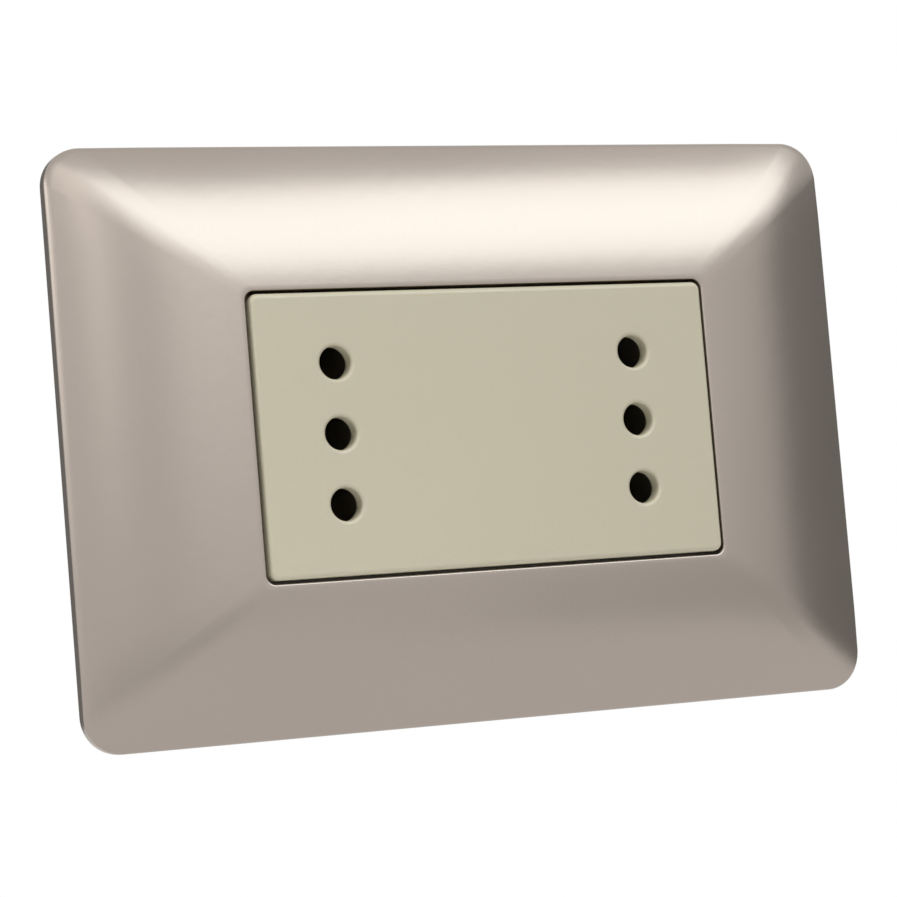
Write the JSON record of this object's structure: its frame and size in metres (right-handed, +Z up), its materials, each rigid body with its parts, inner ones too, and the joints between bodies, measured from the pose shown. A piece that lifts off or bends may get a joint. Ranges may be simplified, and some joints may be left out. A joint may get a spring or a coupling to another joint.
{
  "type": "double wall socket",
  "caption": "Flush wall socket with two in-line three-pin outlets in one cream insert, behind a pillow-shaped metallic cover plate.",
  "frame": {"origin": "centre of the plate on the wall's surface, midway between the two wall screws", "axes": "+X to the right along the plate, +Y into the wall, +Z up"},
  "size_m": [0.118, 0.0357, 0.08],
  "materials": {
    "plate_paint": "satin champagne metallic paint on moulded plastic",
    "cream_plastic": "fine matt moulded plastic",
    "frame_plastic": "plain moulded plastic",
    "base_plastic": "plain moulded plastic",
    "contact_brass": "stamped brass",
    "spring_steel": "spring steel",
    "screw_steel": "zinc plated"
  },
  "bodies": {
    "root": {"cover_plate": "plate_paint", "support_frame": "frame_plastic", "wall_screw_left": "screw_steel", "wall_screw_right": "screw_steel", "socket_front": "cream_plastic", "socket_base": "base_plastic", "rear_cover": "base_plastic", "line_bar": "contact_brass", "earth_bar": "contact_brass", "neutral_bar": "contact_brass", "left_line_spring": "spring_steel", "left_earth_spring": "spring_steel", "left_neutral_spring": "spring_steel", "right_line_spring": "spring_steel", "right_earth_spring": "spring_steel", "right_neutral_spring": "spring_steel", "line_terminal": "contact_brass", "earth_terminal": "contact_brass", "neutral_terminal": "contact_brass", "line_terminal_screw": "screw_steel", "earth_terminal_screw": "screw_steel", "neutral_terminal_screw": "screw_steel"}
  },
  "joints": []
}
